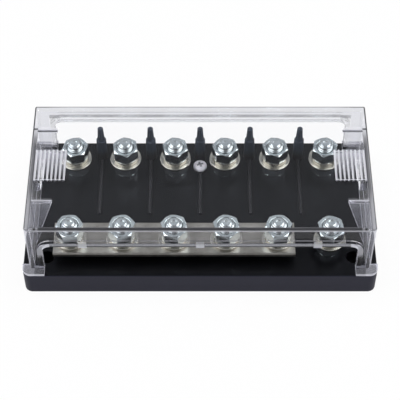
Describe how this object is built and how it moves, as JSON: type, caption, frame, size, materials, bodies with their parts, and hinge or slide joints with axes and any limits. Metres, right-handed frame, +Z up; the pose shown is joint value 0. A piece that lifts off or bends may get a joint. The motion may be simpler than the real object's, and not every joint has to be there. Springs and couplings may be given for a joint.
{
  "type": "multi-way fuse holder",
  "caption": "Bolt-down fuse holder: black moulded base with two rows of threaded terminals, a busbar along one row and a clear lift-off cover with cable gaps.",
  "frame": {"origin": "middle of the underside of the base", "axes": "+Z up through the terminals, +X along the terminal rows, -Y towards the busbar row"},
  "size_m": [0.175, 0.085, 0.0479],
  "materials": {
    "base_plastic": "satin black moulding",
    "plate_plastic": "matt black sheet",
    "clear_cover": "clear polished moulding",
    "zinc_steel": "bright zinc plate",
    "washer_zinc": "zinc plate with a warm passivate",
    "screw_zinc": "zinc plate",
    "tinned_bar": "dull tin plate"
  },
  "bodies": {
    "holder": {"base": "base_plastic", "bottom_plate": "plate_plastic", "plate_screw": "screw_zinc", "busbar": "tinned_bar", "terminal_bolts": "zinc_steel", "clamp_nuts": "zinc_steel", "thin_clamp_nuts": "zinc_steel", "flat_washers": "washer_zinc"},
    "cover": {"cover": "clear_cover"},
    "front_lock_washer_1": {"front_lock_washer_1": "washer_zinc"},
    "front_terminal_nut_1": {"front_terminal_nut_1": "zinc_steel"},
    "front_lock_washer_2": {"front_lock_washer_2": "washer_zinc"},
    "front_terminal_nut_2": {"front_terminal_nut_2": "zinc_steel"},
    "front_lock_washer_3": {"front_lock_washer_3": "washer_zinc"},
    "front_terminal_nut_3": {"front_terminal_nut_3": "zinc_steel"},
    "front_lock_washer_4": {"front_lock_washer_4": "washer_zinc"},
    "front_terminal_nut_4": {"front_terminal_nut_4": "zinc_steel"},
    "front_lock_washer_5": {"front_lock_washer_5": "washer_zinc"},
    "front_terminal_nut_5": {"front_terminal_nut_5": "zinc_steel"},
    "front_lock_washer_6": {"front_lock_washer_6": "washer_zinc"},
    "front_terminal_nut_6": {"front_terminal_nut_6": "zinc_steel"},
    "rear_lock_washer_1": {"rear_lock_washer_1": "washer_zinc"},
    "rear_terminal_nut_1": {"rear_terminal_nut_1": "zinc_steel"},
    "rear_lock_washer_2": {"rear_lock_washer_2": "washer_zinc"},
    "rear_terminal_nut_2": {"rear_terminal_nut_2": "zinc_steel"},
    "rear_lock_washer_3": {"rear_lock_washer_3": "washer_zinc"},
    "rear_terminal_nut_3": {"rear_terminal_nut_3": "zinc_steel"},
    "rear_lock_washer_4": {"rear_lock_washer_4": "washer_zinc"},
    "rear_terminal_nut_4": {"rear_terminal_nut_4": "zinc_steel"},
    "rear_lock_washer_5": {"rear_lock_washer_5": "washer_zinc"},
    "rear_terminal_nut_5": {"rear_terminal_nut_5": "zinc_steel"},
    "rear_lock_washer_6": {"rear_lock_washer_6": "washer_zinc"},
    "rear_terminal_nut_6": {"rear_terminal_nut_6": "zinc_steel"}
  },
  "joints": [
    {"name": "cover_lift", "type": "slide", "parent": "holder", "child": "cover", "axis": [0, 0, 1], "range_m": [0, 0.06]},
    {"name": "front_lock_washer_1_rise", "type": "slide", "parent": "holder", "child": "front_lock_washer_1", "axis": [0, 0, 1], "range_m": [0, 0.00755]},
    {"name": "front_terminal_nut_1_turn", "type": "hinge", "parent": "front_lock_washer_1", "child": "front_terminal_nut_1", "pos_m": [-0.064, -0.0249, 0.024], "axis": [0, 0, 1], "range_deg": [0, 2160]},
    {"name": "front_lock_washer_2_rise", "type": "slide", "parent": "holder", "child": "front_lock_washer_2", "axis": [0, 0, 1], "range_m": [0, 0.00755]},
    {"name": "front_terminal_nut_2_turn", "type": "hinge", "parent": "front_lock_washer_2", "child": "front_terminal_nut_2", "pos_m": [-0.0384, -0.0249, 0.024], "axis": [0, 0, 1], "range_deg": [0, 2160]},
    {"name": "front_lock_washer_3_rise", "type": "slide", "parent": "holder", "child": "front_lock_washer_3", "axis": [0, 0, 1], "range_m": [0, 0.00755]},
    {"name": "front_terminal_nut_3_turn", "type": "hinge", "parent": "front_lock_washer_3", "child": "front_terminal_nut_3", "pos_m": [-0.0128, -0.0249, 0.024], "axis": [0, 0, 1], "range_deg": [0, 2160]},
    {"name": "front_lock_washer_4_rise", "type": "slide", "parent": "holder", "child": "front_lock_washer_4", "axis": [0, 0, 1], "range_m": [0, 0.00755]},
    {"name": "front_terminal_nut_4_turn", "type": "hinge", "parent": "front_lock_washer_4", "child": "front_terminal_nut_4", "pos_m": [0.0128, -0.0249, 0.024], "axis": [0, 0, 1], "range_deg": [0, 2160]},
    {"name": "front_lock_washer_5_rise", "type": "slide", "parent": "holder", "child": "front_lock_washer_5", "axis": [0, 0, 1], "range_m": [0, 0.00755]},
    {"name": "front_terminal_nut_5_turn", "type": "hinge", "parent": "front_lock_washer_5", "child": "front_terminal_nut_5", "pos_m": [0.0384, -0.0249, 0.024], "axis": [0, 0, 1], "range_deg": [0, 2160]},
    {"name": "front_lock_washer_6_rise", "type": "slide", "parent": "holder", "child": "front_lock_washer_6", "axis": [0, 0, 1], "range_m": [0, 0.00755]},
    {"name": "front_terminal_nut_6_turn", "type": "hinge", "parent": "front_lock_washer_6", "child": "front_terminal_nut_6", "pos_m": [0.064, -0.0249, 0.024], "axis": [0, 0, 1], "range_deg": [0, 2160]},
    {"name": "rear_lock_washer_1_rise", "type": "slide", "parent": "holder", "child": "rear_lock_washer_1", "axis": [0, 0, 1], "range_m": [0, 0.00755]},
    {"name": "rear_terminal_nut_1_turn", "type": "hinge", "parent": "rear_lock_washer_1", "child": "rear_terminal_nut_1", "pos_m": [-0.064, 0.0254, 0.024], "axis": [0, 0, 1], "range_deg": [0, 2160]},
    {"name": "rear_lock_washer_2_rise", "type": "slide", "parent": "holder", "child": "rear_lock_washer_2", "axis": [0, 0, 1], "range_m": [0, 0.00755]},
    {"name": "rear_terminal_nut_2_turn", "type": "hinge", "parent": "rear_lock_washer_2", "child": "rear_terminal_nut_2", "pos_m": [-0.0384, 0.0254, 0.024], "axis": [0, 0, 1], "range_deg": [0, 2160]},
    {"name": "rear_lock_washer_3_rise", "type": "slide", "parent": "holder", "child": "rear_lock_washer_3", "axis": [0, 0, 1], "range_m": [0, 0.00755]},
    {"name": "rear_terminal_nut_3_turn", "type": "hinge", "parent": "rear_lock_washer_3", "child": "rear_terminal_nut_3", "pos_m": [-0.0128, 0.0254, 0.024], "axis": [0, 0, 1], "range_deg": [0, 2160]},
    {"name": "rear_lock_washer_4_rise", "type": "slide", "parent": "holder", "child": "rear_lock_washer_4", "axis": [0, 0, 1], "range_m": [0, 0.00755]},
    {"name": "rear_terminal_nut_4_turn", "type": "hinge", "parent": "rear_lock_washer_4", "child": "rear_terminal_nut_4", "pos_m": [0.0128, 0.0254, 0.024], "axis": [0, 0, 1], "range_deg": [0, 2160]},
    {"name": "rear_lock_washer_5_rise", "type": "slide", "parent": "holder", "child": "rear_lock_washer_5", "axis": [0, 0, 1], "range_m": [0, 0.00755]},
    {"name": "rear_terminal_nut_5_turn", "type": "hinge", "parent": "rear_lock_washer_5", "child": "rear_terminal_nut_5", "pos_m": [0.0384, 0.0254, 0.024], "axis": [0, 0, 1], "range_deg": [0, 2160]},
    {"name": "rear_lock_washer_6_rise", "type": "slide", "parent": "holder", "child": "rear_lock_washer_6", "axis": [0, 0, 1], "range_m": [0, 0.00755]},
    {"name": "rear_terminal_nut_6_turn", "type": "hinge", "parent": "rear_lock_washer_6", "child": "rear_terminal_nut_6", "pos_m": [0.064, 0.0254, 0.024], "axis": [0, 0, 1], "range_deg": [0, 2160]}
  ],
  "couplings": [
    {"joint": "front_lock_washer_1_rise", "follows": "front_terminal_nut_1_turn", "m_per_rad": 0.00019894},
    {"joint": "front_lock_washer_2_rise", "follows": "front_terminal_nut_2_turn", "m_per_rad": 0.00019894},
    {"joint": "front_lock_washer_3_rise", "follows": "front_terminal_nut_3_turn", "m_per_rad": 0.00019894},
    {"joint": "front_lock_washer_4_rise", "follows": "front_terminal_nut_4_turn", "m_per_rad": 0.00019894},
    {"joint": "front_lock_washer_5_rise", "follows": "front_terminal_nut_5_turn", "m_per_rad": 0.00019894},
    {"joint": "front_lock_washer_6_rise", "follows": "front_terminal_nut_6_turn", "m_per_rad": 0.00019894},
    {"joint": "rear_lock_washer_1_rise", "follows": "rear_terminal_nut_1_turn", "m_per_rad": 0.00019894},
    {"joint": "rear_lock_washer_2_rise", "follows": "rear_terminal_nut_2_turn", "m_per_rad": 0.00019894},
    {"joint": "rear_lock_washer_3_rise", "follows": "rear_terminal_nut_3_turn", "m_per_rad": 0.00019894},
    {"joint": "rear_lock_washer_4_rise", "follows": "rear_terminal_nut_4_turn", "m_per_rad": 0.00019894},
    {"joint": "rear_lock_washer_5_rise", "follows": "rear_terminal_nut_5_turn", "m_per_rad": 0.00019894},
    {"joint": "rear_lock_washer_6_rise", "follows": "rear_terminal_nut_6_turn", "m_per_rad": 0.00019894}
  ]
}
